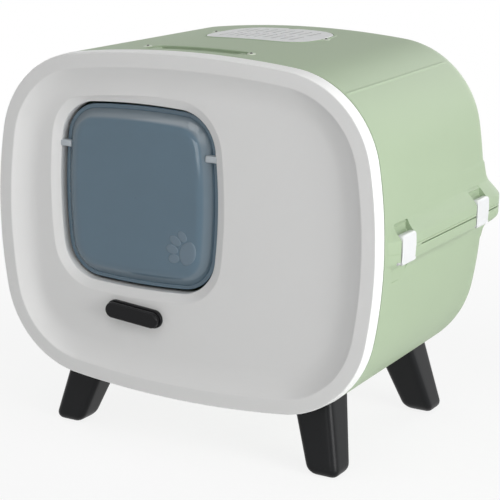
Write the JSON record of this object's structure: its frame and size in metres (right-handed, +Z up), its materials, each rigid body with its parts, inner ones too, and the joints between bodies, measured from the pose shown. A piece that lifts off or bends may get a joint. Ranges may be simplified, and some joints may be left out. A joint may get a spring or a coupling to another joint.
{
  "type": "litter box",
  "caption": "Enclosed cat litter box with a television-shaped front, a domed swing flap, a turn button, side clips, a carry handle, a filter vent and splayed legs.",
  "frame": {"origin": "on the floor, below the middle of the overall width and depth", "axes": "+X across, to the right when facing the front; +Y from the front towards the rear; +Z up"},
  "size_m": [0.5232, 0.366, 0.473],
  "materials": {
    "panel": "satin, light grey-white",
    "shell": "fine grain, sage green",
    "leg": "satin black",
    "flap": "smoke-coloured, see-through",
    "clip": "gloss, white",
    "lock": "gloss, black",
    "cover": "satin, milky white",
    "filter": "open foam, off-white",
    "steel": "plain"
  },
  "bodies": {
    "box": {"front_panel": "panel", "flap_pin_left": "steel", "flap_pin_right": "steel", "lock_washer": "clip", "hood": "shell", "base_tub": "shell", "handle_pin_left": "steel", "handle_pin_right": "steel", "filter_pad": "filter", "filter_tray": "shell", "leg_screws": "steel", "panel_screws": "steel", "clip_pin_front_left": "steel", "leg_front_left": "leg", "clip_pin_front_right": "steel", "leg_front_right": "leg", "clip_pin_rear_left": "steel", "leg_rear_left": "leg", "clip_pin_rear_right": "steel", "leg_rear_right": "leg"},
    "flap": {"door_flap": "flap"},
    "lock": {"lock_base": "lock", "lock_cap": "lock", "lock_retainer": "steel"},
    "handle": {"carry_handle": "shell"},
    "cover": {"filter_cover": "cover"},
    "clip_front_left": {"clip_front_left": "clip"},
    "clip_front_right": {"clip_front_right": "clip"},
    "clip_rear_left": {"clip_rear_left": "clip"},
    "clip_rear_right": {"clip_rear_right": "clip"}
  },
  "joints": [
    {"name": "flap_swing", "type": "hinge", "parent": "box", "child": "flap", "pos_m": [-0.062, -0.1636, 0.354], "axis": [1, 0, 0], "range_deg": [-80, 80]},
    {"name": "lock_turn", "type": "hinge", "parent": "box", "child": "lock", "pos_m": [-0.062, -0.171, 0.162], "axis": [0, 1, 0], "range_deg": [-4.8, 85.2]},
    {"name": "handle_lift", "type": "hinge", "parent": "box", "child": "handle", "pos_m": [0, -0.12775, 0.4648], "axis": [-1, 0, 0], "range_deg": [0, 100]},
    {"name": "cover_lift", "type": "slide", "parent": "box", "child": "cover", "axis": [0, 0, 1], "range_m": [0, 0.04]},
    {"name": "clip_front_left_swing", "type": "hinge", "parent": "box", "child": "clip_front_left", "pos_m": [-0.2578, -0.122, 0.2594], "axis": [0, -1, 0], "range_deg": [0, 110]},
    {"name": "clip_front_right_swing", "type": "hinge", "parent": "box", "child": "clip_front_right", "pos_m": [0.2578, -0.122, 0.2594], "axis": [0, 1, 0], "range_deg": [0, 110]},
    {"name": "clip_rear_left_swing", "type": "hinge", "parent": "box", "child": "clip_rear_left", "pos_m": [-0.2578, 0.087, 0.2594], "axis": [0, -1, 0], "range_deg": [0, 110]},
    {"name": "clip_rear_right_swing", "type": "hinge", "parent": "box", "child": "clip_rear_right", "pos_m": [0.2578, 0.087, 0.2594], "axis": [0, 1, 0], "range_deg": [0, 110]}
  ]
}
